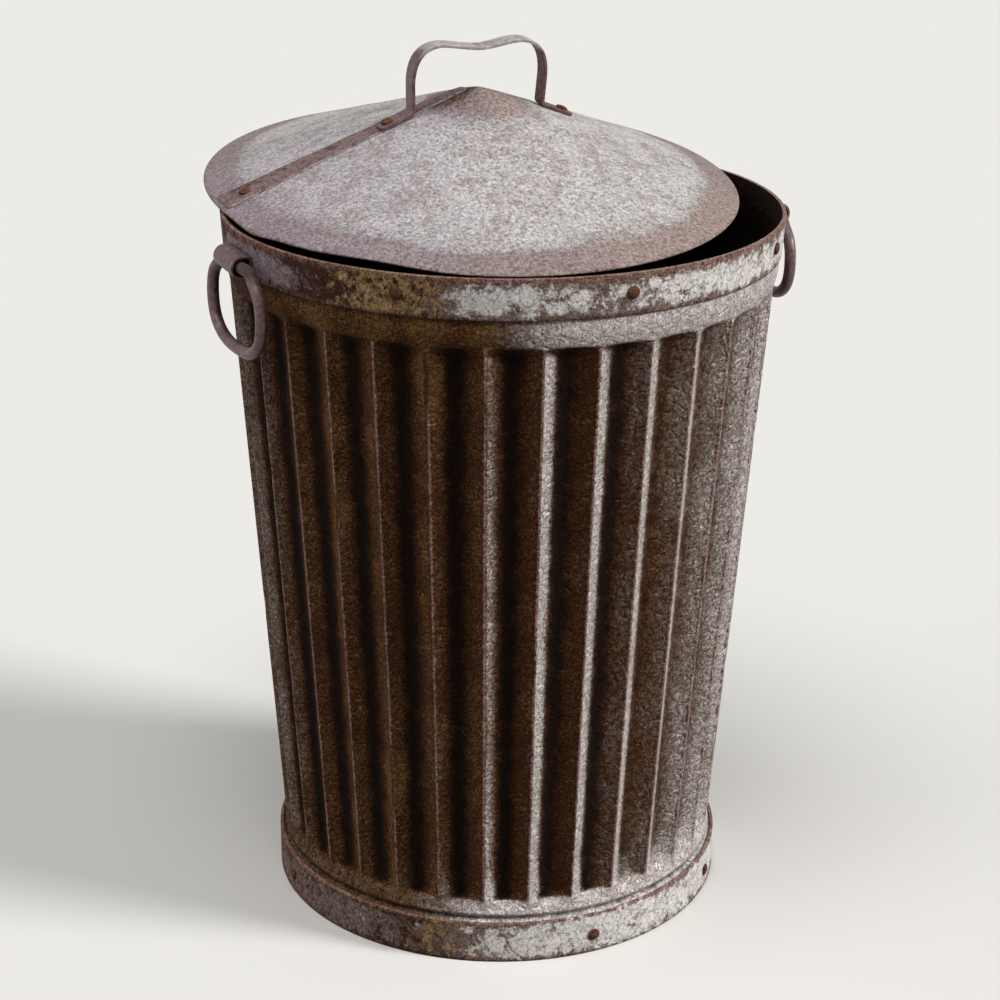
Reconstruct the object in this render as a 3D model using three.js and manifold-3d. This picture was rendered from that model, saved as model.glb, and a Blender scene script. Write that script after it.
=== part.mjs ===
// A galvanised steel trash can with two ring handles and a conical lid that lies ajar on its rim.
// Millimetres, +Z up. The origin is on the can's axis at floor level, with the left ring handle at -X.
import * as THREE from 'three';
import { mergeVertices } from 'three/addons/utils/BufferGeometryUtils.js';
import Module from 'manifold-3d';

const wasm = await Module();
wasm.setup();

// ---- Driving dimensions -------------------------------------------------------------------------

const clearance = 0.3;          // gap left between pieces that touch

// Fluted wall of the can
const canHeight = 660;          // floor to the top of the rim
const wallRadius = 205;         // outer radius of the wall's straight taper, carried down to the floor
const wallTaper = 0.0713;       // growth of that radius for each millimetre of height
const wallSheet = 1.0;          // thickness of the wall's sheet
const fluteCount = 32;          // upright flutes pressed into the wall
const fluteDepth = 10;          // ridge to valley floor
const fluteRunOut = 16;         // height in which a valley runs out at either end
const fluteFoot = 50;           // height of the flutes' lower ends
const fluteHeadDrop = 60;       // the flutes' upper ends lie this far below the rim
const patternTurn = -3.35;      // degrees from +X to the middle of a valley, and to a rivet

// Smooth bands above and below the flutes
const upperBeadSwell = 1.6;     // how far the band under the rim hoop stands out
const lowerBeadSwell = 1.0;     // how far the band over the base hoop stands out
const lowerBeadHeight = 6;      // height of that band, between the groove and the flutes
const grooveDepth = 1.4;        // groove between the lower band and the base hoop
const footRadius = 211.5;       // outer radius of the widened foot, inside the base hoop
const footShoulder = 4;         // height in which the wall widens from the groove to the foot

// Hoops
const rimHoopHeight = 36.5;     // height of the strip round the rim
const rimHoopSheet = 2.6;       // its thickness
const baseHoopHeight = 40;      // height of the strip round the base
const baseHoopSheet = 3.0;      // its thickness

// Bottom pan
const panSheet = 1.0;           // thickness of the bottom
const panFlangeHeight = 30;     // height of the flange that is riveted into the foot
const panBend = 3;              // bend between the bottom and its flange
const panBeadRadius = 130;      // middle of the stiffening ring pressed up in the bottom
const panBeadWidth = 24;        // width of that ring
const panBeadRise = 3;          // its height

// Rivets
const hoopRivetCount = 8;       // rivets round each hoop
const rivetHeadRadius = 5.6;
const rivetHeadHeight = 2.8;
const rivetShankRadius = 2.0;
const rivetTailRadius = 3.6;
const rivetTailHeight = 1.4;
const rimRivetDrop = 16.5;      // rim to the middle of a rim rivet
const baseRivetHeight = 19;     // floor to the middle of a base rivet
const flatHeadRadius = 3.8;     // low heads inside the handle brackets
const flatHeadHeight = 1.3;

// Ring handles and the brackets that they hang in
const ringRodRadius = 5.4;      // radius of the rod
const ringHalfWidth = 54.5;     // half the ring's width, to the middle of the rod
const ringDrop = 75.5;          // height of the ring, to the middle of the rod
const ringBar = 30;             // half the length of the bar inside the bracket
const ringBarTrue = 25.5;       // half the length over which that bar is held straight
const ringSlide = 6;            // how far the ring has slid along the bracket, to its lower end
const ringGap = 1.2;            // gap where the rod's ends meet inside the bracket
const ringSquareness = 2.5;     // exponent of the ring's outline: 2 is an ellipse
const bracketSheet = 1.8;       // thickness of the bracket's strap
const bracketWidth = 40;        // length of the barrel along the ring's bar
const barrelRadius = 8.05;      // inner radius of the barrel
const barrelDrop = 22.8;        // rim to the middle of the barrel
const barrelStandOff = 9.9;     // rim hoop to the middle of the barrel
const bracketLean = 4;          // degrees by which the bracket hangs crooked, about the radial line
const rightHandleTurn = -11.5;  // degrees by which the right handle misses the place opposite the left
const barrelOpening = 35;       // degrees left open between the barrel's end and its lowest point
const bracketLegDrop = 10;      // middle of the barrel to the lower end of the leg on the hoop
const bracketRivetSpacing = 22; // distance between the two rivets of a bracket
const bracketRivetRise = 2;     // height of those rivets over the middle of the barrel

// Lid
const lidRadius = 248;          // axis to edge
const lidRise = 91.8;           // edge to apex
const lidSheet = 0.9;           // thickness of the lid's sheet
const lidHem = 6;               // width of the edge that is folded under, flat
const lidShift = 71.5;          // the lid's axis lies this far behind the can's axis
const lidSide = 1.6;            // and this far to the right of it
const lidTilt = 5.4;            // degrees by which the lid's front edge dips into the can
const lidTurn = -3.35;          // degrees by which the lid is turned round the can's axis

// Seam strip on the lid
const seamSheet = 1.0;
const seamStart = 10;           // distance of its inner end from the apex
const seamInset = 4;            // distance of its outer end from the lid's edge
const seamInnerWidth = 15.5;
const seamSkew = 7;             // how far its inner end lies behind the lid's middle line
const seamOuterWidth = 31.5;
const seamRivetInset = 25;      // lid's edge to the rivet at the strip's outer end

// Lid handle
const gripWidth = 16;           // width of the handle's strap
const gripSheet = 3.0;          // its thickness
const gripFoot = 64.5;          // lid's axis to the foot of either leg
const gripFootLength = 34;      // length of the foot that lies on the lid
const gripRivetReach = 23.5;    // foot of the leg to its rivet
const gripRise = 64.5;          // height of the shoulders over the foot of the legs
const gripSplay = 1.5;          // how far the legs lean out
const gripShoulder = 40;        // lid's axis to either shoulder
const gripCorner = 34;          // height of the rounded corner between leg and shoulder
const gripDip = 4.6;            // how far the middle of the grip dips below its shoulders

// Steps in which round shapes are cut
const wallSteps = fluteCount * 4;
const panSteps = fluteCount * 2;
const lidSteps = 96;
const rivetSteps = 8;
const rodSides = 8;
const ringSteps = 40;
const bendSteps = 7;
const restSteps = 1440;         // steps round the lid's edge in which its rest on the rim is found

// ---- Shared helpers -----------------------------------------------------------------------------

const degrees = THREE.MathUtils.degToRad;

const wallAt = (height) => wallRadius + wallTaper * height;
const rimHoopInner = (height) => wallAt(height) + clearance;
const rimHoopOuter = (height) => rimHoopInner(height) + rimHoopSheet;
const taperAngle = Math.atan(wallTaper);
const lidSlope = Math.atan(lidRise / lidRadius);
const lidTopAt = (radius) => lidRise * (1 - radius / lidRadius);

// Turns a three.js geometry into a solid whose neighbouring faces share their corners.
function solidOf(geometry) {
  geometry.deleteAttribute('normal');
  geometry.deleteAttribute('uv');
  const merged = mergeVertices(geometry, 1e-4);
  const corners = Array.from(merged.index.array);
  const triangles = [];
  for (let i = 0; i < corners.length; i += 3) {
    const [a, b, c] = corners.slice(i, i + 3);
    if (a !== b && b !== c && c !== a) triangles.push(a, b, c);
  }
  return new wasm.Manifold(new wasm.Mesh({
    numProp: 3,
    vertProperties: new Float32Array(merged.attributes.position.array),
    triVerts: new Uint32Array(triangles),
  }));
}

function geometryOf(solid) {
  const mesh = solid.getMesh();
  const geometry = new THREE.BufferGeometry();
  geometry.setAttribute('position', new THREE.BufferAttribute(mesh.vertProperties, 3));
  geometry.setIndex(new THREE.BufferAttribute(mesh.triVerts, 1));
  geometry.computeVertexNormals();
  return geometry;
}

// Turns a profile of [radius, height] points round the Z axis. It runs anticlockwise round the metal.
function turned(profile, steps) {
  const points = profile.map(([radius, height]) => new THREE.Vector2(radius, height));
  if (points[0].x > 0) points.push(points[0].clone());
  return new THREE.LatheGeometry(points, steps).rotateX(Math.PI / 2);
}

// Turns an open profile, which runs upwards, into a sheet: its outer face, the same face moved in by
// the sheet's thickness, and the edges between them. Both faces are cut into the same triangles.
function turnedSheet(profile, steps, sheet, press) {
  const points = profile.map(([radius, height]) => new THREE.Vector2(radius, height));
  const outer = press(new THREE.LatheGeometry(points, steps).rotateX(Math.PI / 2));
  const places = Array.from(outer.attributes.position.array);
  const corners = places.length / 3;
  for (let i = 0; i < corners; i += 1) {
    const [x, y, z] = places.slice(3 * i, 3 * i + 3);
    const inward = 1 - sheet / Math.hypot(x, y);
    places.push(x * inward, y * inward, z);
  }
  const faces = Array.from(outer.index.array);
  faces.push(...faces.map((corner) => corner + corners).reverse());
  const rows = profile.length;
  for (let step = 0; step < steps; step += 1) {
    const [foot, nextFoot] = [step * rows, (step + 1) * rows];
    const [head, nextHead] = [foot + rows - 1, nextFoot + rows - 1];
    for (const [from, to] of [[nextFoot, foot], [head, nextHead]]) {
      faces.push(from, to, to + corners, from, to + corners, from + corners);
    }
  }
  const geometry = new THREE.BufferGeometry();
  geometry.setAttribute('position', new THREE.Float32BufferAttribute(places, 3));
  return geometry.setIndex(faces);
}

// A strap of sheet that follows a path, as the outline of its edge.
function strapOutline(path, sheet) {
  const line = path.getPoints(bendSteps);
  const offset = (side) => line.map((point, i) => {
    const before = line[Math.max(i - 1, 0)];
    const after = line[Math.min(i + 1, line.length - 1)];
    const arrive = point.clone().sub(before).normalize();
    const leave = after.clone().sub(point).normalize();
    const along = arrive.clone().add(leave).normalize();
    const mitre = Math.max(along.dot(arrive), along.dot(leave));
    const reach = side * sheet / 2 / mitre;
    return new THREE.Vector2(point.x - along.y * reach, point.y + along.x * reach);
  });
  return new THREE.Shape([...offset(-1), ...offset(1).reverse()]);
}

// Extrudes an outline drawn in X and Z by a width along Y, centred on the XZ plane.
function acrossY(shape, width) {
  return new THREE.ExtrudeGeometry(shape, { depth: width, bevelEnabled: false })
    .translate(0, 0, -width / 2)
    .rotateX(Math.PI / 2);
}

// A place for a rivet: the point under its head, the way its head faces and the thickness it grips.
function seatOf(x, y, z, facing, grip) {
  return { point: new THREE.Vector3(x, y, z), facing: facing.clone().normalize(), grip };
}

function turnedSeat(seat, angle) {
  const axis = new THREE.Vector3(0, 0, 1);
  return {
    point: seat.point.clone().applyAxisAngle(axis, angle),
    facing: seat.facing.clone().applyAxisAngle(axis, angle),
    grip: seat.grip,
  };
}

function placeOnSeat(object, seat) {
  object.quaternion.setFromUnitVectors(new THREE.Vector3(0, 0, 1), seat.facing);
  object.position.copy(seat.point);
  return object;
}

// Drills a hole for each rivet's shank.
function drilled(solid, seats) {
  return seats.reduce((body, seat) => {
    const radius = rivetShankRadius + clearance;
    const overrun = 1;
    const length = seat.grip + 2 * overrun;
    const drill = new THREE.CylinderGeometry(radius, radius, length, rivetSteps).rotateX(Math.PI / 2);
    drill.translate(0, 0, overrun - length / 2);
    const place = placeOnSeat(new THREE.Object3D(), seat);
    place.updateMatrix();
    return body.subtract(solidOf(drill.applyMatrix4(place.matrix)));
  }, solid);
}

// ---- Finishes -----------------------------------------------------------------------------------

const finishes = {
  wall: { color: 0x4b3a2c, roughness: 0.72, metalness: 0.55 },
  hoop: { color: 0x9a8f80, roughness: 0.68, metalness: 0.5 },
  pan: { color: 0x4f463d, roughness: 0.7, metalness: 0.55 },
  rivet: { color: 0x4a2d22, roughness: 0.75, metalness: 0.4 },
  forged: { color: 0x6f5a58, roughness: 0.62, metalness: 0.65 },
  lid: { color: 0xa6a2a3, roughness: 0.6, metalness: 0.6 },
  seam: { color: 0x6d5450, roughness: 0.68, metalness: 0.5 },
};

function piece(name, solid, finish) {
  const mesh = new THREE.Mesh(geometryOf(solid), new THREE.MeshStandardMaterial(finishes[finish]));
  mesh.name = name;
  return mesh;
}

// ---- Rivets -------------------------------------------------------------------------------------

function rivetSolid(grip, headRadius, headHeight) {
  const profile = [
    [0, -grip - rivetTailHeight],
    [rivetTailRadius * 0.8, -grip - rivetTailHeight],
    [rivetTailRadius, -grip],
    [rivetShankRadius, -grip],
    [rivetShankRadius, 0],
    [headRadius, 0],
    [headRadius * 0.88, headHeight * 0.5],
    [headRadius * 0.5, headHeight * 0.9],
    [0, headHeight],
  ];
  return solidOf(turned(profile, rivetSteps));
}

function rivetOn(name, seat, headRadius = rivetHeadRadius, headHeight = rivetHeadHeight) {
  return placeOnSeat(piece(name, rivetSolid(seat.grip, headRadius, headHeight), 'rivet'), seat);
}

const patternAngles = Array.from({ length: hoopRivetCount }, (_, i) =>
  degrees(patternTurn + i * 360 / hoopRivetCount));

// The rim's rivets stand square to its taper. The left handle bracket takes one of their places.
const rimNormal = new THREE.Vector3(Math.cos(taperAngle), 0, -Math.sin(taperAngle));
const rimStack = rimHoopSheet + wallSheet + 3 * clearance;
const rimRivetHeight = canHeight - rimRivetDrop;
const rimSeat = seatOf(rimHoopOuter(rimRivetHeight) + clearance, 0, rimRivetHeight, rimNormal, rimStack);
const rimSeats = patternAngles
  .filter((_, i) => i !== hoopRivetCount / 2)
  .map((angle) => turnedSeat(rimSeat, angle));

const panFlangeOuter = footRadius - wallSheet - clearance;
const baseHoopInner = footRadius + clearance;
const baseHoopOuter = baseHoopInner + baseHoopSheet;
const baseStack = baseHoopSheet + wallSheet + panSheet + 4 * clearance;
const baseFacing = new THREE.Vector3(1, 0, 0);
const baseSeat = seatOf(baseHoopOuter + clearance, 0, baseRivetHeight, baseFacing, baseStack);
const baseSeats = patternAngles.map((angle) => turnedSeat(baseSeat, angle));

// ---- Handle brackets ----------------------------------------------------------------------------

const barrelHeight = canHeight - barrelDrop;
const barrelAxis = rimHoopOuter(barrelHeight) + barrelStandOff;
const barrelLine = barrelRadius + bracketSheet / 2;

// The leg leans with the rim hoop, and the heads of its rivets lie between it and the ring's bar.
const legLine = (height) => rimHoopOuter(height) + (clearance + bracketSheet / 2) / Math.cos(taperAngle);

const lean = new THREE.Matrix4().makeTranslation(0, 0, barrelHeight)
  .multiply(new THREE.Matrix4().makeRotationX(-degrees(bracketLean)))
  .multiply(new THREE.Matrix4().makeTranslation(0, 0, -barrelHeight));

const handleTurns = { left: Math.PI, right: degrees(rightHandleTurn) };

const bracketSeats = [-1, 1].map((side) => {
  const height = barrelHeight + bracketRivetRise;
  const leg = legLine(height) + (bracketSheet / 2 + clearance) / Math.cos(taperAngle);
  const bulge = bracketRivetSpacing ** 2 / 8 / rimHoopOuter(height);
  const grip = rimStack + bracketSheet + clearance + 2 * bulge;
  const seat = seatOf(leg, side * bracketRivetSpacing / 2, height, rimNormal, grip);
  seat.point.applyMatrix4(lean);
  seat.facing.transformDirection(lean);
  return seat;
});

const bracketHoles = Object.values(handleTurns)
  .flatMap((turn) => bracketSeats.map((seat) => turnedSeat(seat, turn)));

function bracketSolid() {
  const legFoot = barrelHeight - bracketLegDrop;
  const fold = barrelHeight + barrelLine;
  const path = new THREE.Path();
  path.moveTo(legLine(legFoot), legFoot);
  path.lineTo(legLine(fold), fold);
  path.lineTo(barrelAxis, fold);
  path.absarc(barrelAxis, barrelHeight, barrelLine, Math.PI / 2, -degrees(90 + barrelOpening), true);
  const strap = acrossY(strapOutline(path, bracketSheet), bracketWidth).applyMatrix4(lean);
  return drilled(solidOf(strap), bracketSeats);
}

// ---- Ring handles -------------------------------------------------------------------------------

// The level bar rests on the raised end of the leaning barrel, and the ring's origin is on its axis.
const barrelEndRise = bracketWidth / 2 * Math.sin(degrees(bracketLean));
const ringAxisHeight = barrelHeight + barrelEndRise - (barrelRadius - ringRodRadius - clearance);

function ringSolid() {
  const power = 2 / ringSquareness;
  const half = ringDrop / 2;
  const firstAngle = 50;
  const bar = [ringGap / 2, ringBarTrue, ringBar];
  const points = bar.map((y) => new THREE.Vector3(0, -y, 0));
  for (let angle = firstAngle; angle >= -180 - firstAngle; angle -= 20) {
    const across = Math.cos(degrees(angle));
    const up = Math.sin(degrees(angle));
    const y = -ringHalfWidth * Math.sign(across) * Math.abs(across) ** power;
    const z = half * Math.sign(up) * Math.abs(up) ** power - half;
    points.push(new THREE.Vector3(0, y, z));
  }
  points.push(...bar.reverse().map((y) => new THREE.Vector3(0, y, 0)));
  const path = new THREE.CatmullRomCurve3(points, false, 'centripetal');
  const section = new THREE.Shape().absarc(0, 0, ringRodRadius, 0, 2 * Math.PI);
  return solidOf(new THREE.ExtrudeGeometry(section, {
    extrudePath: path,
    steps: ringSteps,
    curveSegments: rodSides / 2,
  }));
}

// ---- Wall, hoops and pan ------------------------------------------------------------------------

const fluteHead = canHeight - fluteHeadDrop;
const rimHoopFoot = canHeight - rimHoopHeight;

// How deep the flutes are at a height: nothing past their ends, and full depth between the run-outs.
function fluteDepthAt(height) {
  const inside = Math.min(height - fluteFoot, fluteHead - height);
  return fluteDepth * THREE.MathUtils.clamp(inside / fluteRunOut, 0, 1);
}

// Presses the flutes into a plain wall: sharp ridges with a round valley between each two.
function pressFlutes(geometry) {
  const position = geometry.attributes.position;
  const pitch = 2 * Math.PI / fluteCount;
  for (let i = 0; i < position.count; i += 1) {
    const step = Math.round(Math.atan2(position.getY(i), position.getX(i)) / (2 * Math.PI) * wallSteps);
    const across = THREE.MathUtils.euclideanModulo(step * 2 * Math.PI / wallSteps, pitch) / pitch * 2;
    const fromValley = across > 1 ? 2 - across : across;
    const depth = fluteDepthAt(position.getZ(i)) * (1 - fromValley ** 2);
    const radius = Math.hypot(position.getX(i), position.getY(i));
    const scale = (radius - depth) / radius;
    position.setXY(i, position.getX(i) * scale, position.getY(i) * scale);
  }
  return geometry;
}

function wallSolid() {
  const groove = baseHoopHeight + 1.5;
  const bead = fluteFoot - lowerBeadHeight / 2;
  const upperBead = (fluteHead + rimHoopFoot) / 2;
  const lowest = clearance;
  const profile = [
    [footRadius, lowest],
    [footRadius, groove - footShoulder],
    [wallAt(groove) - grooveDepth, groove],
    [wallAt(bead) + lowerBeadSwell, bead],
    [wallAt(fluteFoot), fluteFoot],
    [wallAt(fluteFoot + fluteRunOut / 2), fluteFoot + fluteRunOut / 2],
    [wallAt(fluteFoot + fluteRunOut), fluteFoot + fluteRunOut],
    [wallAt(fluteHead - fluteRunOut), fluteHead - fluteRunOut],
    [wallAt(fluteHead - fluteRunOut / 2), fluteHead - fluteRunOut / 2],
    [wallAt(fluteHead), fluteHead],
    [wallAt(upperBead) + upperBeadSwell, upperBead],
    [wallAt(rimHoopFoot), rimHoopFoot],
    [wallAt(canHeight), canHeight],
  ];
  const wall = turnedSheet(profile, wallSteps, wallSheet, pressFlutes);
  const blank = solidOf(wall.rotateZ(degrees(patternTurn)));
  return drilled(blank, [...rimSeats, ...baseSeats, ...bracketHoles]);
}

function rimHoopSolid() {
  const profile = [
    [rimHoopInner(rimHoopFoot), rimHoopFoot],
    [rimHoopOuter(rimHoopFoot), rimHoopFoot],
    [rimHoopOuter(canHeight), canHeight],
    [rimHoopInner(canHeight), canHeight],
  ];
  const blank = solidOf(turned(profile, wallSteps).rotateZ(degrees(patternTurn)));
  return drilled(blank, [...rimSeats, ...bracketHoles]);
}

function baseHoopSolid() {
  const profile = [
    [baseHoopInner, 0],
    [baseHoopOuter, 0],
    [baseHoopOuter, baseHoopHeight],
    [baseHoopInner, baseHoopHeight],
  ];
  return drilled(solidOf(turned(profile, wallSteps).rotateZ(degrees(patternTurn))), baseSeats);
}

function panSolid() {
  const flangeInner = panFlangeOuter - panSheet;
  const half = panBeadWidth / 2;
  const profile = [
    [0, 0],
    [panBeadRadius - half, 0],
    [panBeadRadius - half / 2, panBeadRise],
    [panBeadRadius + half / 2, panBeadRise],
    [panBeadRadius + half, 0],
    [panFlangeOuter - panBend, 0],
    [panFlangeOuter, panBend],
    [panFlangeOuter, panFlangeHeight],
    [flangeInner, panFlangeHeight],
    [flangeInner, panBend + panSheet / 2],
    [flangeInner - panBend + panSheet / 2, panSheet],
    [panBeadRadius + half, panSheet],
    [panBeadRadius + half / 2, panBeadRise + panSheet],
    [panBeadRadius - half / 2, panBeadRise + panSheet],
    [panBeadRadius - half, panSheet],
    [0, panSheet],
  ];
  return drilled(solidOf(turned(profile, panSteps).rotateZ(degrees(patternTurn))), baseSeats);
}

// ---- Lid ----------------------------------------------------------------------------------------

const lidUpright = 1 / Math.cos(lidSlope);
const lidFacing = new THREE.Vector3(Math.sin(lidSlope), 0, Math.cos(lidSlope));

// A seat on the lid's slope, on the side of -X or +X, over a stack of sheets that lies on the lid.
function lidSeatAt(side, radius, stack) {
  const lift = (stack + clearance) * lidUpright;
  const facing = lidFacing.clone();
  facing.x *= side;
  return seatOf(side * radius, 0, lidTopAt(radius) + lift, facing, stack + lidSheet + 2 * clearance);
}

const seamStack = clearance + seamSheet;
const gripStack = clearance + gripSheet;
const seamSeat = lidSeatAt(-1, lidRadius - seamRivetInset, seamStack);
const gripSeats = [
  lidSeatAt(-1, gripFoot + gripRivetReach, seamStack + gripStack),
  lidSeatAt(1, gripFoot + gripRivetReach, gripStack),
];

function lidSolid() {
  const sheet = lidSheet * lidUpright;
  const hemStart = lidRadius - lidHem;
  const profile = [
    [0, lidRise - sheet],
    [hemStart, lidTopAt(hemStart) - sheet],
    [hemStart, lidTopAt(hemStart) - 2 * sheet],
    [lidRadius - lidSheet, lidTopAt(lidRadius - lidSheet) - 2 * sheet],
    [lidRadius, -sheet],
    [lidRadius - lidSheet / 2, lidTopAt(lidRadius - lidSheet / 2)],
    [0, lidRise],
  ];
  return drilled(solidOf(turned(profile, lidSteps)), [seamSeat, ...gripSeats]);
}

// The strip widens towards the edge: a band of the lid's own cone, trimmed to a wedge.
function seamSolid() {
  const outer = lidRadius - seamInset;
  const under = clearance * lidUpright;
  const over = (clearance + seamSheet) * lidUpright;
  const band = turned([
    [seamStart / 2, lidTopAt(seamStart / 2) + under],
    [outer, lidTopAt(outer) + under],
    [outer, lidTopAt(outer) + over],
    [seamStart / 2, lidTopAt(seamStart / 2) + over],
  ], lidSteps);
  const wedge = new THREE.Shape([
    new THREE.Vector2(-seamStart, seamSkew - seamInnerWidth / 2),
    new THREE.Vector2(-seamStart, seamSkew + seamInnerWidth / 2),
    new THREE.Vector2(-lidRadius, seamOuterWidth / 2),
    new THREE.Vector2(-lidRadius, -seamOuterWidth / 2),
  ]);
  const trim = new THREE.ExtrudeGeometry(wedge, { depth: 2 * lidRise, bevelEnabled: false });
  return drilled(solidOf(band).intersect(solidOf(trim)), [seamSeat, gripSeats[0]]);
}

// The strap's line runs up the near leg, over the two shoulders with a dip between them, and down.
function gripSolid() {
  const lift = (stack) => (stack + clearance + gripSheet / 2) * lidUpright;
  const lifts = { left: lift(seamStack), right: lift(0) };
  const footEnd = gripFoot + gripFootLength * Math.cos(lidSlope);
  const shoulderHeight = lidTopAt(gripFoot) + gripRise;
  const cornerX = gripFoot + gripSplay;
  const cornerFoot = shoulderHeight - gripCorner;
  const path = new THREE.Path();
  path.moveTo(-footEnd, lidTopAt(footEnd) + lifts.left);
  path.lineTo(-gripFoot, lidTopAt(gripFoot) + lifts.left);
  path.lineTo(-cornerX, cornerFoot);
  path.quadraticCurveTo(-cornerX, shoulderHeight - 2, -gripShoulder, shoulderHeight);
  path.bezierCurveTo(-gripShoulder / 2, shoulderHeight, -gripShoulder / 2, shoulderHeight - gripDip,
    0, shoulderHeight - gripDip);
  path.bezierCurveTo(gripShoulder / 2, shoulderHeight - gripDip, gripShoulder / 2, shoulderHeight,
    gripShoulder, shoulderHeight);
  path.quadraticCurveTo(cornerX, shoulderHeight - 2, cornerX, cornerFoot);
  path.lineTo(gripFoot, lidTopAt(gripFoot) + lifts.right);
  path.lineTo(footEnd, lidTopAt(footEnd) + lifts.right);
  const strap = solidOf(acrossY(strapOutline(path, gripSheet), gripWidth));
  return drilled(strap, gripSeats);
}

// ---- Assembly -----------------------------------------------------------------------------------

const can = new THREE.Group();
can.add(
  piece('body_shell', wallSolid(), 'wall'),
  piece('bottom_pan', panSolid(), 'pan'),
  piece('rim_hoop', rimHoopSolid(), 'hoop'),
  piece('base_hoop', baseHoopSolid(), 'hoop'),
);
rimSeats.forEach((seat, i) => can.add(rivetOn(`rim_rivet_${i + 1}`, seat)));
baseSeats.forEach((seat, i) => can.add(rivetOn(`base_rivet_${i + 1}`, seat)));

// Either handle is drawn at +X and turned to its place.
function handleSide(name) {
  const side = new THREE.Group();
  side.rotation.z = handleTurns[name];
  side.add(piece(`${name}_handle_bracket`, bracketSolid(), 'forged'));
  bracketSeats.forEach((seat, i) => {
    side.add(rivetOn(`${name}_bracket_rivet_${i + 1}`, seat, flatHeadRadius, flatHeadHeight));
  });
  const ring = piece(`${name}_ring_handle`, ringSolid(), 'forged');
  ring.position.set(barrelAxis, ringSlide, ringAxisHeight);
  side.add(ring);
  return side;
}
can.add(handleSide('left'), handleSide('right'));

// The height of the lid's axis at which its folded edge just rests on the rim, where the two cross.
function lidRestHeight() {
  const rimInner = wallAt(canHeight) - wallSheet;
  const rimOuter = rimHoopOuter(canHeight);
  const tilt = degrees(lidTilt);
  const hemRadius = lidRadius - lidSheet;
  const hemFall = 2 * lidSheet * lidUpright - lidTopAt(hemRadius);
  let height = 0;
  for (let step = 0; step < restSteps; step += 1) {
    const angle = step / restSteps * 2 * Math.PI;
    const across = lidSide + hemRadius * Math.cos(angle);
    const back = lidShift + hemRadius * Math.sin(angle) * Math.cos(tilt);
    const reach = Math.hypot(across, back);
    const fall = hemFall - hemRadius * Math.sin(angle) * Math.sin(tilt);
    if (reach > rimInner && reach < rimOuter) height = Math.max(height, canHeight + clearance + fall);
  }
  return height;
}

const lid = new THREE.Group();
lid.position.set(lidSide, lidShift, lidRestHeight());
lid.rotation.x = degrees(lidTilt);
lid.add(
  piece('lid_cone', lidSolid(), 'lid'),
  piece('lid_seam_strip', seamSolid(), 'seam'),
  piece('lid_handle', gripSolid(), 'forged'),
  rivetOn('lid_seam_rivet', seamSeat),
  rivetOn('lid_handle_rivet_left', gripSeats[0]),
  rivetOn('lid_handle_rivet_right', gripSeats[1]),
);
const lidCarrier = new THREE.Group();
lidCarrier.rotation.z = degrees(lidTurn);
lidCarrier.add(lid);

const trashCan = new THREE.Group();
trashCan.add(can, lidCarrier);

export default trashCan;
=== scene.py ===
import math

import bmesh
import bpy
from mathutils import Matrix, Vector, noise


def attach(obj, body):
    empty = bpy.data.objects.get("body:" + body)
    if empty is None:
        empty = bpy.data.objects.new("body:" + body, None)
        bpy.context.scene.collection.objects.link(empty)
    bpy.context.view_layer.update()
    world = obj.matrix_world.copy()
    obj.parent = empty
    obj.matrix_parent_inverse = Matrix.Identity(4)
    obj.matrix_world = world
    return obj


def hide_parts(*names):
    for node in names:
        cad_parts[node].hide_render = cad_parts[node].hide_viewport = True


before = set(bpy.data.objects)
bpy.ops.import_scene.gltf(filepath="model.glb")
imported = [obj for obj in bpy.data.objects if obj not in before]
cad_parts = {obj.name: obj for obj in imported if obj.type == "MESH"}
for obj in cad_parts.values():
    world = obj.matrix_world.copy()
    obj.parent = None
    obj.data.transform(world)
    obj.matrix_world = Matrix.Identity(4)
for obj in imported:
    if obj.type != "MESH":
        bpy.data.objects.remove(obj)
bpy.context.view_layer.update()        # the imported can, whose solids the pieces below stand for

mm = 0.001               # sizes below are in millimetres, angles in degrees
print("frame loaded:", len(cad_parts), "solids")


# Sizes that several pieces share
can = {
    "height": 660,           # floor to rim
    "wallRadius": 205,       # radius of the wall's taper, carried down to the floor
    "wallTaper": 0.0713,     # growth of that radius with height
    "wallSheet": 1.0,
    "gap": 0.3,              # room between sheets that lie on each other
    "patternTurn": -3.35,    # from +X to the first rivet and the middle of the first valley
    "litSide": -50,          # the side the key lamp lights, where the zinc is drawn paler as painted light
    "rimStrip": 2.6,         # thickness of the rim hoop
    "footRadius": 211.5,     # outer radius of the wall inside the base hoop
    "baseStrip": 3.0,        # thickness of the base hoop
}


def wallAt(height):
    return can["wallRadius"] + can["wallTaper"] * height


def rimHoopOuter(height):
    return wallAt(height) + can["gap"] + can["rimStrip"]


def ramp(value, low, high):
    share = min(max((value - low) / (high - low), 0), 1)
    return share * share * (3 - 2 * share)


def near(value, centre, width):
    # 1 at the centre, falling off on either side over about that width
    return math.exp(-((value - centre) / width) ** 2)


def nearSide(angle, centre, width):
    return near((angle - centre + 180) % 360 - 180, 0, width)


def azimuth(place):
    return math.degrees(math.atan2(place.y, place.x))


def onLitSide(place):
    return math.cos(math.radians(azimuth(place) - can["litSide"]))


def lumps(place, size, seed):
    # smooth noise from about -1 to 1, in lumps of that many millimetres
    return noise.noise(place / (size * mm) + Vector((seed * 7.3, seed * 3.1, seed * 5.7)))


# Finishes

def hexToLinear(code):
    channels = [int(code[i:i + 2], 16) / 255 for i in (1, 3, 5)]
    return [c / 12.92 if c <= 0.04045 else ((c + 0.055) / 1.055) ** 2.4 for c in channels] + [1]


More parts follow.
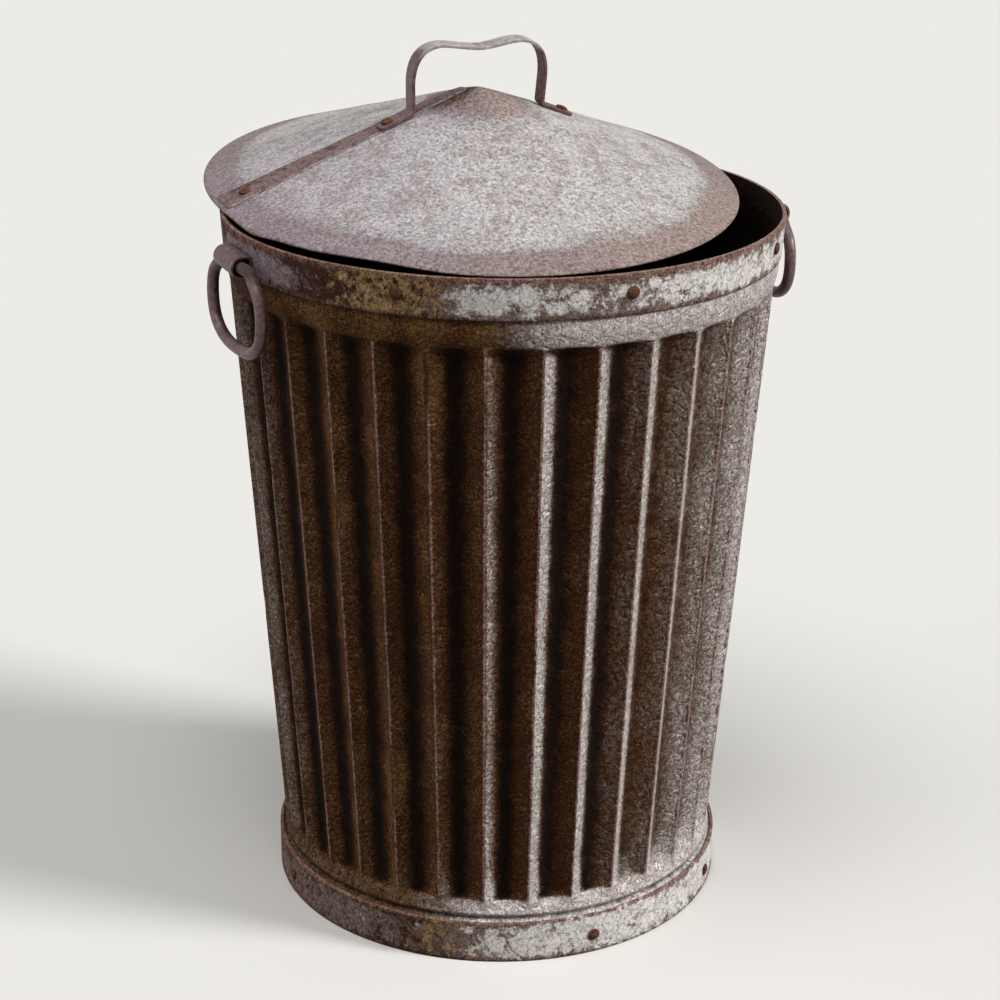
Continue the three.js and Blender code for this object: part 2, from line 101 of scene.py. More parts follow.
def addNode(tree, kind, settings, inputs, output=None):
    node = tree.nodes.new("ShaderNode" + kind)
    for name, value in settings.items():
        setattr(node, name, value)
    usable = [socket for socket in node.inputs if not socket.is_unavailable]
    for name, value in inputs.items():
        if isinstance(name, int):
            socket = usable[name]
        else:
            socket = next(found for found in usable if found.name == name)
        if isinstance(value, bpy.types.NodeSocket):
            tree.links.new(value, socket)
        else:
            socket.default_value = value
    if output:
        return node.outputs[output]
    return next((found for found in node.outputs if not found.is_unavailable), None)


def emptyTree(owner):
    owner.use_nodes = True
    owner.node_tree.nodes.clear()
    return owner.node_tree


def layeredSteel(name, **look):
    # Tone and grain are (size, strength), and the tone runs between the two colours of the base and
    # of each layer. A layer shows where its noise, plus its field times its reach, passes its cut,
    # or stays below it where its soft edge is negative, and is raised by its lift. Sizes and lifts
    # are in millimetres. Real pits and zinc grains are a few tenths of one: the fine sizes here are
    # three to ten times as coarse, so that they show from a step away.
    material = bpy.data.materials.new(name)
    tree = emptyTree(material)
    place = addNode(tree, "TexCoord", {}, {}, "Object")
    toneSize, toneSpread = look["tone"]
    tone = addNode(tree, "TexNoise", {}, {
        "Vector": place, "Scale": 1 / (toneSize * mm), "Detail": 6, "Roughness": 0.7})
    tone = addNode(tree, "MapRange", {}, {
        "Value": tone, "From Min": 0.5 - toneSpread, "From Max": 0.5 + toneSpread})
    colour = addNode(tree, "Mix", {"data_type": "RGBA"}, {
        "Factor": tone, "A": hexToLinear(look["base"][0]), "B": hexToLinear(look["base"][1])})
    shine, metal = look["shine"], look["metal"]
    grainSize, grainLift = look["grain"]
    grain = addNode(tree, "TexNoise", {}, {
        "Vector": place, "Scale": 1 / (grainSize * mm), "Detail": 4, "Roughness": 0.6})
    height = addNode(tree, "Math", {"operation": "MULTIPLY"}, {0: grain, 1: grainLift})
    for number, layer in enumerate(look["layers"]):
        spot = addNode(tree, "Mapping", {"vector_type": "TEXTURE"}, {
            "Vector": place, "Location": (number * 1.37, number * 0.71, number * 2.03)})
        spots = addNode(tree, "TexNoise", {}, {
            "Vector": spot, "Scale": 1 / (layer["size"] * mm), "Detail": layer.get("detail", 6),
            "Roughness": layer.get("crumble", 0.65)})
        if "creases" in layer:    # folds between cells of that many millimetres, bent by the noise
            bent = addNode(tree, "VectorMath", {"operation": "MULTIPLY_ADD"}, {
                0: spots, 1: (layer["bend"] * mm,) * 3, 2: spot})
            spots = addNode(tree, "TexVoronoi", {"feature": "DISTANCE_TO_EDGE"}, {
                "Vector": bent, "Scale": 1 / (layer["creases"] * mm)})
        if "field" in layer:
            field = addNode(tree, "Attribute", {"attribute_name": layer["field"]}, {}, "Fac")
            spots = addNode(tree, "Math", {"operation": "MULTIPLY_ADD"}, {
                0: field, 1: layer["reach"], 2: spots})
        mask = addNode(tree, "MapRange", {"interpolation_type": "SMOOTHSTEP"}, {
            "Value": spots, "From Min": layer["cut"] - layer["soft"],
            "From Max": layer["cut"] + layer["soft"]})
        if "lift" in layer:
            height = addNode(tree, "Math", {"operation": "MULTIPLY_ADD"}, {
                0: mask, 1: layer["lift"], 2: height})
        if "colours" not in layer:
            continue
        if "share" in layer:
            mask = addNode(tree, "Math", {"operation": "MULTIPLY"}, {0: mask, 1: layer["share"]})
        paint = addNode(tree, "Mix", {"data_type": "RGBA"}, {
            "Factor": tone, "A": hexToLinear(layer["colours"][0]),
            "B": hexToLinear(layer["colours"][1])})
        colour = addNode(tree, "Mix", {"data_type": "RGBA"}, {
            "Factor": mask, "A": colour, "B": paint})
        shine = addNode(tree, "Mix", {"data_type": "FLOAT"}, {
            "Factor": mask, "A": shine, "B": layer.get("shine", look["shine"])})
        metal = addNode(tree, "Mix", {"data_type": "FLOAT"}, {
            "Factor": mask, "A": metal, "B": layer.get("metal", look["metal"])})
    normal = addNode(tree, "Bump", {}, {"Distance": mm, "Height": height})
    surface = addNode(tree, "BsdfPrincipled", {}, {
        "Base Color": colour, "Roughness": shine, "Metallic": metal, "Normal": normal,
        "Specular IOR Level": look["gloss"]})
    addNode(tree, "OutputMaterial", {}, {"Surface": surface})
    return material


# Dirt and painted shade in one layer: it darkens the valleys, grooves, edges where parts meet,
# undersides and the inside of the can
dirt_and_shade = dict(colours=("#0c0603", "#1d1009"), size=14, cut=0.95, soft=0.38,
            field="grime_and_shade", reach=0.9, metal=0, shine=0.88)

# Galvanised sheet gone brown: crinkled, with golden rust specks and pale grey zinc at head and
# foot. The dark in the valleys is dirt and painted shade, and the paler zinc on the flanks that
# face the key lamp is painted light
wallSteel = layeredSteel(
    "browned galvanised wall", base=("#2d180d", "#623b21"), shine=0.76, metal=0.08, gloss=0.08,
    tone=(1.8, 0.11), grain=(1.5, 0.45),
    layers=[
        dict(size=6, creases=9, bend=12, cut=0.1, soft=0.1, lift=1.1),
        dict(colours=("#664325", "#a57b49"), size=2.4, detail=4, crumble=0.75, cut=0.67,
             soft=0.07, field="gold_and_lilac_light", reach=0.2, share=0.65, lift=0.05),
        # zinc, grey and pale: drawn paler and wider where it faces the key lamp, as painted light
        dict(colours=("#59463a", "#938478"), size=5, crumble=0.8, cut=0.84, soft=0.13,
             field="zinc_and_light", reach=0.66, metal=0.2, shine=0.62),
        dict(colours=("#a1958f", "#ebe2dd"), size=3, detail=5, crumble=0.75, cut=1.04,
             soft=0.15, field="zinc_and_light", reach=0.7, metal=0.2, shine=0.55, lift=0.1),
        dict(colours=("#3c1b12", "#6a3b2c"), size=7, crumble=0.7, cut=0.95, soft=0.14,
             field="rust", reach=0.6, metal=0.05, shine=0.8),
        # pinkish: worn ridges, with a painted highlight where the rim light catches them
        dict(colours=("#78574e", "#b29186"), size=4, crumble=0.7, cut=0.9, soft=0.15,
             field="worn_and_light", reach=0.6, metal=0.2, shine=0.55),
        dict(colours=("#180d07", "#2e1d13"), size=2.2, detail=4, crumble=0.6, cut=0.61,
             soft=0.05, share=0.45, lift=-0.2),
        dirt_and_shade,
    ],
)

# Galvanised strip: chalky white zinc that flakes off in patches over dark red rust, drawn whiter on
# the lit side as painted light
hoopSteel = layeredSteel(
    "flaking galvanised strip", base=("#2c150e", "#573429"), shine=0.78, metal=0.06, gloss=0.08,
    tone=(2.4, 0.11), grain=(1.6, 0.4),
    layers=[
        dict(colours=("#5d4942", "#968479"), size=10, crumble=0.82, cut=0.86, soft=0.08,
             field="zinc_and_light", reach=0.7, metal=0.15, shine=0.62, lift=0.05),
        dict(colours=("#8e6c45", "#d3ae7e"), size=9, crumble=0.84, cut=0.89, soft=0.05,
             field="gold_and_lilac_light", reach=0.42, lift=0.2, metal=0.1),
        dict(colours=("#c9c1bb", "#fbf6f1"), size=15, crumble=0.8, cut=1.0, soft=0.05,
             field="zinc_and_light", reach=0.62, metal=0.1, shine=0.6, lift=0.25),
        # lavender-grey: worn patches, and on the rim hoop's left painted fill light
        dict(colours=("#766468", "#ab9b9f"), size=9, crumble=0.8, cut=0.92, soft=0.1,
             field="worn_and_light", reach=0.6, metal=0.2, shine=0.6),
        dict(colours=("#573830", "#a88577"), size=9, crumble=0.82, cut=0.92, soft=0.12,
             field="rust", reach=0.52, metal=0.05, shine=0.82),
        dict(colours=("#2a1510", "#4a3028"), size=7, creases=15, bend=24, cut=0.03,
             soft=-0.03, share=0.35, lift=-0.3),
        dict(colours=("#26120c", "#45291f"), size=4, crumble=0.75, cut=0.61, soft=0.03,
             share=0.65, lift=-0.3),
        dirt_and_shade,
    ],
)

# Hot-dipped sheet: light grey, speckled zinc, worn to mauve at the edge and rusted at the tip
lidSteel = layeredSteel(
    "speckled galvanised lid", base=("#685b5a", "#9f8f8b"), shine=0.66, metal=0.12, gloss=0.15,
    tone=(3.2, 0.11), grain=(1.6, 0.3),
    layers=[
        dict(size=4, creases=7, bend=8, cut=0.06, soft=0.06, lift=0.2),
        # tan: painted warm key light on the lit side
        dict(colours=("#8d7970", "#b9a298"), size=20, cut=0.9, soft=0.3,
             field="worn_and_light", reach=0.8, share=0.5),
        dict(colours=("#8b8785", "#c3bfbb"), size=5, detail=5, crumble=0.85, cut=0.86,
             soft=0.07, field="zinc_and_light", reach=0.62, metal=0.15, shine=0.55, lift=0.08),
        dict(colours=("#c4bfbe", "#e2dedb"), size=3, detail=4, crumble=0.8, cut=1.2,
             soft=0.05, field="zinc_and_light", reach=0.7, metal=0.15, shine=0.5, share=0.7),
        # lavender: painted fill light on the left half
        dict(colours=("#8f8299", "#aea3b8"), size=40, cut=0.95, soft=0.4,
             field="gold_and_lilac_light", reach=0.8, share=0.3, metal=0.15, shine=0.55),
        dict(colours=("#7b6c69", "#9d8d86"), size=30, crumble=0.85, cut=0.53, soft=0.06,
             share=0.6),
        dict(colours=("#4a302a", "#916a5c"), size=6, crumble=0.82, cut=0.88, soft=0.13,
             field="rust", reach=0.6, metal=0.08, shine=0.75),
        dict(colours=("#4a413e", "#6b615e"), size=3.4, detail=5, crumble=0.85, cut=0.58,
             soft=0.06, share=0.42, lift=-0.3),
        dirt_and_shade,
    ],
)

# Bare steel rod and strap, handled smooth: dull mauve-brown with a soft sheen
handleSteel = layeredSteel(
    "handled brown steel", base=("#4b3534", "#795f5f"), shine=0.42, metal=0.3, gloss=0.5,
    tone=(5, 0.14), grain=(2.2, 0.2),
    layers=[
        dict(colours=("#8b8383", "#bab3ad"), size=6, crumble=0.78, cut=0.98, soft=0.12,
             field="zinc_and_light", reach=0.6, metal=0.35, shine=0.5),
        dict(colours=("#4a2c25", "#6f473b"), size=8, crumble=0.75, cut=0.92, soft=0.14,
             field="rust", reach=0.6, metal=0.1, shine=0.75),
        dict(colours=("#2a1b18", "#412d28"), size=3, crumble=0.7, cut=0.62, soft=0.05,
             share=0.5, lift=-0.1),
        dirt_and_shade,
    ],
)

# Soft iron rivets, never galvanised: matt, dark red rust
rivetSteel = layeredSteel(
    "rusted iron rivet", base=("#472a21", "#74503f"), shine=0.8, metal=0.05, gloss=0.1,
    tone=(2, 0.12), grain=(1.4, 0.3),
    layers=[
        dict(colours=("#6b4b41", "#86665a"), size=3, crumble=0.7, cut=0.62, soft=0.06,
             share=0.5),
        dict(colours=("#2a130c", "#3c2016"), size=4, crumble=0.7, cut=0.56, soft=0.06,
             share=0.8, lift=-0.1),
        dirt_and_shade,
    ],
)

# Lapping strip of the lid: rusted red-brown with a pale edge, worn and with a painted highlight
seamSteel = layeredSteel(
    "rusted seam strip", base=("#5b4747", "#8b7673"), shine=0.68, metal=0.15, gloss=0.15,
    tone=(3, 0.12), grain=(1.8, 0.3),
    layers=[
        dict(colours=("#857a7a", "#aea5a3"), size=5, crumble=0.75, cut=0.98, soft=0.08,
             field="zinc_and_light", reach=0.6, metal=0.3, shine=0.55),
        dict(colours=("#2b1c19", "#3f2b27"), size=12, crumble=0.75, cut=0.57, soft=0.07,
             share=0.8),
        dict(colours=("#57342c", "#7a5045"), size=9, crumble=0.7, cut=0.85, soft=0.12,
             field="rust", reach=0.5, metal=0.05, shine=0.8),
        dirt_and_shade,
    ],
)

# Galvanised bottom: dull brown-grey under years of dirt, with cloudy zinc and a little rust
panSteel = layeredSteel(
    "dirty galvanised bottom", base=("#382f27", "#5e5449"), shine=0.72, metal=0.15, gloss=0.15,
    tone=(6, 0.14), grain=(2.2, 0.3),
    layers=[
        dict(colours=("#77716a", "#948d84"), size=26, crumble=0.7, cut=0.6, soft=0.08,
             metal=0.3, shine=0.6),
        dict(colours=("#4a2d22", "#6b4433"), size=14, crumble=0.72, cut=0.6, soft=0.06,
             metal=0.05, shine=0.8),
        dirt_and_shade,
    ],
)
print("finishes made:", len(bpy.data.materials))


# Making and finishing pieces

# What shows at a point, from about 0 to 1: zinc, drawn paler on the lit side as painted light;
# golden rust (on the lid a lavender tint, painted fill light); red-brown rust; wear (pinkish ridges
# with a painted highlight; lavender-grey patches on the hoops, on the rim hoop's left painted fill
# light; tan on the lid, painted warm light); and dirt with painted shade
fields = ("zinc_and_light", "gold_and_lilac_light", "rust", "worn_and_light", "grime_and_shade")


def weather(shape, amounts):
    # amounts(place, normal) gives the fields at a point, and those it leaves out are 0
    layers = [shape.verts.layers.float.new(name) for name in fields]
    shape.normal_update()
    for vert in shape.verts:
        found = amounts(vert.co, vert.normal)
        for name, layer in zip(fields, layers):
            vert[layer] = found.get(name, 0)


def linked(name, data):
    made = bpy.data.objects.new(name, data)
    bpy.context.scene.collection.objects.link(made)
    return made


def asMesh(shape, name, material):
    mesh = bpy.data.meshes.new(name)
    shape.to_mesh(mesh)
    shape.free()
    mesh.materials.append(material)
    return mesh


def finishPiece(shape, amounts, name, body, material, node, place=Matrix(), sharp=40):
    # weathers the piece as it is drawn, then puts it in its place
    weather(shape, amounts)
    bmesh.ops.transform(shape, matrix=place, verts=shape.verts)
    mesh = asMesh(shape, name, material)
    mesh.shade_smooth()
    mesh.set_sharp_from_angle(angle=math.radians(sharp))
    piece = linked(name, mesh)
    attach(piece, body)
    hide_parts(node)
    return piece


def spun(profile, steps, sectors=1):
    # turns a profile of (radius, height) points round the Z axis: one sector, then copies of it
    shape = bmesh.new()
    corners = [shape.verts.new((radius * mm, 0, height * mm)) for radius, height in profile]
    edges = [shape.edges.new(pair) for pair in zip(corners, corners[1:])]
    if profile[0][0] > 0:
        edges.append(shape.edges.new((corners[-1], corners[0])))
    bmesh.ops.spin(shape, geom=corners + edges, cent=(0, 0, 0), axis=(0, 0, 1),
                   angle=math.tau / sectors, steps=steps // sectors, use_merge=sectors == 1)
    sector = list(shape.verts) + list(shape.edges) + list(shape.faces)
    for number in range(1, sectors):
        copied = bmesh.ops.duplicate(shape, geom=sector)["geom"]
        turn = Matrix.Rotation(math.tau * number / sectors, 3, "Z")
        bmesh.ops.rotate(shape, cent=(0, 0, 0), matrix=turn,
                         verts=[item for item in copied if isinstance(item, bmesh.types.BMVert)])
    bmesh.ops.remove_doubles(shape, verts=shape.verts, dist=0.002 * mm)
    bmesh.ops.recalc_face_normals(shape, faces=shape.faces)
    return shape


def extruded(shape, edges):
    # new vertices, still on the old ones, and the edges between them
    made = bmesh.ops.extrude_edge_only(shape, edges=edges)["geom"]
    return ([item for item in made if isinstance(item, bmesh.types.BMVert)],
            [item for item in made if isinstance(item, bmesh.types.BMEdge)])


def rows(start, end, step):
    # even steps from start, as near to that step as fits, without the end itself
    count = max(1, round(abs(end - start) / step))
    return [start + (end - start) * i / count for i in range(count)]


# Fluted wall
wall = {
    "flutes": 32,
    "fluteDepth": 10,        # ridge to valley
    "runOut": 16,            # height in which a valley runs out at its foot
    "topRunOut": 9,          # and at its top
    "fluteFoot": 50,         # heights between which the flutes run
    "fluteHead": 600,
    "hoopFoot": 623.5,       # lower edge of the rim hoop
    "upperSwell": 1.6,       # bead under the rim hoop
    "lowerSwell": 1.0,       # bead over the base hoop
    "groove": 41.5,          # height and depth of the groove under that bead
    "grooveDepth": 1.4,
    "beadRise": 5.5,         # from the groove up to the middle of that bead
    "shoulder": 4,           # height in which the wall widens to its foot
    "ridgeRound": 1.3,       # how round the ridges are
    "wobble": 0.5,           # how far a ridge strays sideways
    "nick": 1.3,             # depth of the dents in the ridges
    # where the finish differs: angle of the middle, and how far to either side
    "paleSide": (170, 26),
    "goldenSide": (-155, 40),
    "goldenBand": (-142, 26),
    # gouges: angle, height, half their length and width, depth
    "gouges": ((-132.7, 568, 18, 8, 3.5), (-155.2, 428, 12, 7, 3.0), (-144, 178, 22, 8, 3.0),
               (-80, 606, 7, 9, 1.3)),
}
pitch = 360 / wall["flutes"]
litWay = Vector((math.cos(math.radians(can["litSide"])), math.sin(math.radians(can["litSide"]))))


def wallOutline(height):
    w = wall
    if height < w["groove"]:
        spread = 1 - ramp(height, w["groove"] - w["shoulder"], w["groove"])
        low = wallAt(w["groove"]) - w["grooveDepth"]
        return low + (can["footRadius"] - low) * spread
    if height < w["fluteFoot"]:
        bead = w["groove"] + w["beadRise"]
        rise = ramp(height, w["groove"], bead) * (w["grooveDepth"] + w["lowerSwell"])
        fall = ramp(height, bead, w["fluteFoot"]) * w["lowerSwell"]
        return wallAt(height) - w["grooveDepth"] + rise - fall
    if w["fluteHead"] < height < w["hoopFoot"]:
        share = (height - w["fluteHead"]) / (w["hoopFoot"] - w["fluteHead"])
        return wallAt(height) + w["upperSwell"] * math.sin(math.pi * share)
    return wallAt(height)


def ridgeOffset(angle):
    # degrees from the nearest ridge, from minus to plus half a pitch
    return (angle - can["patternTurn"]) % pitch - pitch / 2


def fluteDepth(offset, height):
    # a round valley between ridges, with the ridges' own edge rounded a little
    half = math.radians(pitch / 2) * wallAt(height)
    away = math.radians(abs(offset)) * wallAt(height)
    soft = math.hypot(away, wall["ridgeRound"]) - wall["ridgeRound"]
    share = min((height - wall["fluteFoot"]) / wall["runOut"],
                (wall["fluteHead"] - height) / wall["topRunOut"])
    share = min(max(share, 0), 1)
    share = 0.7 * share + 0.3 * ramp(share, 0, 1)
    return wall["fluteDepth"] * share * (1 - (1 - min(soft / half, 1)) ** 2)


def gougeAt(angle, height):
    total = 0
    for side, middle, length, width, depth in wall["gouges"]:
        across = math.radians((angle - side + 180) % 360 - 180) * wallAt(height)
        total += depth * math.exp(-((height - middle) / length) ** 2 - (across / width) ** 2)
    return total


def buildWall():
    # places of the upright rows from ridge to valley, as shares of half a pitch
    columns = (0, 0.022, 0.055, 0.11, 0.22, 0.4, 0.6, 0.8)
    steps = wall["flutes"] * 2 * len(columns)
    # heights of the level rows, close together where the wall bends
    heights = (rows(0.3, 36, 9) + rows(36, 52, 1) + rows(52, 68, 2) + rows(68, 584, 14)
               + rows(584, 600, 1.6) + rows(600, 624, 2) + rows(624, 660, 9) + [660])
    outer = [(wallOutline(h), h) for h in heights]
    inner = [(wallOutline(h) - can["wallSheet"], h) for h in reversed(heights)]
    shape = spun(outer + inner, steps, wall["flutes"])
    for vert in shape.verts:
        height = vert.co.z / mm
        radius = math.hypot(vert.co.x, vert.co.y) / mm
        step = round(azimuth(vert.co) / 360 * steps)
        place = step % (2 * len(columns))
        fromRidge = min(place, 2 * len(columns) - place)
        share = (columns + (1,))[fromRidge] * (1 if place <= len(columns) else -1)
        middle = (step - place) / steps * 360 + (0 if place <= len(columns) else pitch)
        offset = share * pitch / 2
        turn = middle + offset + can["patternTurn"] + pitch / 2
        way = math.radians(middle)
        ridge = Vector((math.cos(way), math.sin(way), height / 90))
        straying = noise.noise(ridge * 4) * wall["wobble"] * (1 - abs(share))
        nick = max(noise.noise(ridge * 9 + Vector((3, 1, 7))) - 0.45, 0) * 2.6 * wall["nick"]
        nick *= near(offset, 0, 0.7)
        between = ramp(height, wall["fluteFoot"], 90) * (1 - ramp(height, 560, wall["fluteHead"]))
        depth = fluteDepth(offset, height) + nick * between + gougeAt(turn, height)
        angle = math.radians(turn) + straying * between / radius
        vert.co.x = math.cos(angle) * (radius - depth) * mm
        vert.co.y = math.sin(angle) * (radius - depth) * mm

    def amounts(place, normal):
        height = place.z / mm
        angle = azimuth(place)
        offset = ridgeOffset(angle) / (pitch / 2)    # -1 to 1 from valley to valley
        # the inside of the can is darkened, less towards the rim: painted shade
        if normal.x * place.x + normal.y * place.y < 0:    # inside the can
            return {"grime_and_shade": 1.1 - 0.3 * ramp(height, 600, 660), "rust": 0.3}
        fluted = ramp(height, 57, 62) * (1 - ramp(height, 597, 599))
        lit = onLitSide(place)
        facing = normal.x * litWay.x + normal.y * litWay.y
        nearRidge = 1 - ramp(abs(offset), 0.3, 0.9)
        # painted shade, with some dirt, lies along the valleys, a little to one side of their
        # middle, and zinc is thinner there
        fromValley = (offset - 0.8) % 2
        hollow = near(fromValley, 0, 0.6) + near(fromValley, 2, 0.3)
        # zinc shows thinly near all ridges; on the flanks that face the lit side, and over that
        # whole side, it is drawn paler and wider as painted light
        flank = ramp(facing, 0.59, 0.94) * nearRidge
        allOver = (0.5 * ramp(lit, 0.6, 0.78) + 0.2 * ramp(lit, 0.85, 0.96)
                   + 0.08 * ramp(lit, 0.96, 1))
        paler = 0.6 * nearSide(angle, *wall["paleSide"]) * nearRidge
        zinc_and_light = fluted * max(flank, allOver, paler, 0.32 * nearRidge) * (1 - 0.3 * hollow)
        # the run-outs at the foot that face the light are paler still: painted light
        zinc_and_light += 0.45 * ramp(facing, 0.45, 0.8) * (1 - ramp(height, 60, 100)) * fluted
        # the plain bands over and under the flutes carry more zinc, paler on the lit side: painted
        # light
        band = 0.42 + 0.58 * ramp(lit, -0.1, 0.45) if height < 100 else ramp(lit, 0.1, 0.65)
        zinc_and_light += (1 - fluted) * band + 0.12 * lumps(place, 40, 21)
        gold_and_lilac_light = 0.35 + 0.6 * lumps(place, 24, 22)
        gold_and_lilac_light += 0.3 * nearSide(angle, *wall["goldenSide"]) * nearRidge
        gold_and_lilac_light += 0.6 * (1 - fluted) * nearSide(angle, *wall["goldenBand"])
        # a rust line runs left of each ridge, and the ridge itself is worn pale, with a painted
        # highlight along it
        rust = (0.75 * near(offset, -0.1, 0.1) + 0.2 * lumps(place, 24, 23)) * fluted
        rust += 0.2 * (1 - fluted)
        worn_and_light = (0.85 + 0.35 * lumps(place, 30, 24)) * near(offset, 0, 0.08) * fluted
        # painted shade in the valleys, lighter on the lit side, and in the groove under the lower
        # bead
        grime_and_shade = 0.95 * hollow * fluted * (1 - 0.6 * ramp(lit, 0.72, 0.9))
        grime_and_shade += 0.6 * near(height, 42, 2.5)
        # gouges have scraped the zinc off, apart from those on the lit side
        scraped = min(gougeAt(angle, height), 1) * (1 - ramp(lit, 0.7, 0.8))
        gold_and_lilac_light, rust, worn_and_light = gold_and_lilac_light + scraped, rust + 0.4 * scraped, worn_and_light * (1 - scraped)
        return {"zinc_and_light": zinc_and_light, "gold_and_lilac_light": gold_and_lilac_light, "rust": rust, "worn_and_light": worn_and_light, "grime_and_shade": grime_and_shade}

    finishPiece(shape, amounts, "fluted_wall", "can", wallSteel, "body_shell",
                sharp=60)


buildWall()
print("wall made")


# Hoops round rim and foot
rimHoop = {"low": 623.5, "edge": 0.7, "steps": 288, "wave": 0.25,
           "goldenSide": (-140, 22), "lavenderLitSide": (-176, 26)}
baseHoop = {"height": 40, "edge": 0.8, "steps": 288, "wave": 0.3,
            "goldenSide": (-132, 16), "rustySide": (170, 40)}
cornerTurns = [math.radians(90 * share) for share in (0, 0.3, 0.7, 1)]    # of a rounded edge


def hoopProfile(inner, outer, low, high, edge):
    # a strip with rounded corners, drawn with its inner and outer radius as functions of the height
    points = [(inner(low), low)]
    for arc in cornerTurns:
        points.append((outer(low) - edge + edge * math.sin(arc), low + edge - edge * math.cos(arc)))
    for height in rows(low + edge, high - edge, 3)[1:]:
        points.append((outer(height), height))
    for arc in cornerTurns:
        points.append((outer(high) - edge + edge * math.cos(arc),
                       high - edge + edge * math.sin(arc)))
    points.append((inner(high), high))
    return points


def waved(shape, wave, seed):
    # long waves that only go inwards, and fine ones both ways
    for vert in shape.verts:
        radius = math.hypot(vert.co.x, vert.co.y)
        shift = (min(lumps(vert.co, 70, seed), 0) * wave + lumps(vert.co, 14, seed) * 0.05) * mm
        vert.co.x *= (radius + shift) / radius
        vert.co.y *= (radius + shift) / radius


def rivetStain(angle, height, width, row, tall):
    # rust round each of the eight rivets of the row at that height
    nearest = max(nearSide(angle, can["patternTurn"] + 45 * k, width) for k in range(8))
    return nearest * near(height, row, tall)


def buildRimHoop():
    low, high = rimHoop["low"], can["height"]
    profile = hoopProfile(lambda h: wallAt(h) + can["gap"], rimHoopOuter, low, high,
                          rimHoop["edge"])
    shape = spun(profile, rimHoop["steps"], 16)
    waved(shape, rimHoop["wave"], 3)

    def amounts(place, normal):
        angle, height = azimuth(place), place.z / mm
        golden = nearSide(angle, *rimHoop["goldenSide"])
        lit = onLitSide(place)
        # zinc drawn paler on the lit side: painted light
        zinc_and_light = 0.47 + 0.5 * ramp(lit, -0.15, 0.4) - 0.15 * golden + 0.2 * lumps(place, 70, 31)
        edges = near(height, high, 8) + 0.9 * near(height, low, 6)
        stain = rivetStain(angle, height, 2.4, 641, 9)
        # lavender-grey on the left is painted fill light, and the darkening at the lower edge is
        # painted shade
        return {"zinc_and_light": zinc_and_light - 0.3 * edges, "gold_and_lilac_light": 0.15 + 0.85 * golden,
                "worn_and_light": 0.95 * nearSide(angle, *rimHoop["lavenderLitSide"]) * (1 - 0.5 * edges),
                "rust": 0.25 + 0.7 * edges + 0.35 * stain,
                "grime_and_shade": 0.5 * near(height, low, 1.5)}

    finishPiece(shape, amounts, "rim_strip", "can", hoopSteel, "rim_hoop")


def buildBaseHoop():
    inner, high = can["footRadius"] + can["gap"], baseHoop["height"]
    outer = inner + can["baseStrip"]
    profile = hoopProfile(lambda h: inner, lambda h: outer, 0, high, baseHoop["edge"])
    shape = spun(profile, baseHoop["steps"], 16)
    waved(shape, baseHoop["wave"], 5)

    def amounts(place, normal):
        angle, height = azimuth(place), place.z / mm
        lit = onLitSide(place)
        # zinc drawn paler on the lit side: painted light
        zinc_and_light = 0.56 + 0.4 * ramp(lit, -0.05, 0.65) + 0.14 * lumps(place, 60, 33)
        edges = near(height, high, 4) + 0.8 * near(height, 0, 5)
        stain = rivetStain(angle, height, 2.6, 14, 10)
        rusty = nearSide(angle, *baseHoop["rustySide"])
        # the darkening at the floor is painted shade
        return {"zinc_and_light": zinc_and_light - 0.25 * edges,
                "gold_and_lilac_light": 0.35 + 0.5 * nearSide(angle, *baseHoop["goldenSide"]),
                "rust": 0.35 + 0.5 * edges + 0.45 * stain + 0.25 * rusty,
                "worn_and_light": 0.35 * rusty, "grime_and_shade": 0.6 * near(height, 0, 2.5)}

    finishPiece(shape, amounts, "base_strip", "can", hoopSteel, "base_hoop")


buildRimHoop()
buildBaseHoop()


# Bottom pan, with a round bead pressed into its floor
pan = {"sheet": 1.0, "flange": 30, "bend": 3, "bead": 130, "beadWidth": 24, "beadRise": 3}


def buildPan():
    outer = can["footRadius"] - can["wallSheet"] - can["gap"]

    def floorAt(radius):
        away = min(abs(radius - pan["bead"]) / (pan["beadWidth"] / 2), 1)
        return pan["beadRise"] * (1 - ramp(away, 0, 1))

    flat = rows(0, outer - pan["bend"], 4)
    bend = [math.radians(18 * i) for i in range(6)]
    under = [(r, floorAt(r)) for r in flat]
    under += [(outer - pan["bend"] + pan["bend"] * math.sin(a),
               pan["bend"] - pan["bend"] * math.cos(a)) for a in bend]
    upper = [(r - pan["sheet"] if r > outer - pan["bend"] - 1 else r, z + pan["sheet"])
             for r, z in reversed(under)]
    top = [(outer, pan["flange"]), (outer - pan["sheet"], pan["flange"])]
    shape = spun(under + top + upper, 192, 16)

    def amounts(place, normal):
        # darker towards the edge, where the bottom meets the wall
        return {"grime_and_shade": 0.35 + 0.5 * ramp(math.hypot(place.x, place.y) / mm, 150, 210)}

    finishPiece(shape, amounts, "pressed_bottom", "can", panSteel, "bottom_pan")


buildPan()
print("hoops and bottom made")


# Rivets, whose flat heads are those inside the brackets
rivet = {"radius": 5.6, "height": 2.7, "shank": 2.0, "tail": 3.6, "tailHeight": 1.4,
         "flatRadius": 3.8, "flatHeight": 1.3, "rimDrop": 16.5, "baseHeight": 19}
taper = math.atan(can["wallTaper"])
# what the rim's rivets hold together
rimStack = can["rimStrip"] + can["wallSheet"] + 3 * can["gap"]


